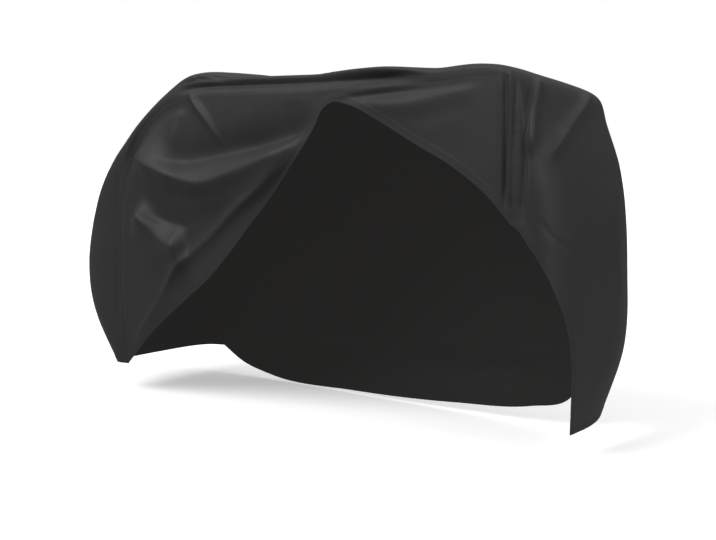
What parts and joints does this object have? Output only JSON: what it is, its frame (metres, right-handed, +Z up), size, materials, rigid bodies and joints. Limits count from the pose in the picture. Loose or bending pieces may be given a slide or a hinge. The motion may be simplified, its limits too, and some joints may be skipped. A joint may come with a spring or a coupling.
{
  "type": "bicycle cover",
  "caption": "Fitted hollow bicycle cover of coated cloth: a crowned strip over rear, top and front between two side panels, with one side's hem lifted into an arch.",
  "frame": {"origin": "the held point, just under the cloth in the middle of the top", "axes": "+X towards the front end, along the cover; +Y across it, away from the lifted side; +Z up"},
  "size_m": [2.0294, 0.6306, 1.1398],
  "materials": {
    "strip_cloth": "matt coated woven polyester, dark grey",
    "panel_cloth": "matt coated woven polyester, dark grey"
  },
  "bodies": {
    "root": {"centre_strip": "strip_cloth", "near_side_panel": "panel_cloth", "far_side_panel": "panel_cloth"}
  },
  "joints": []
}
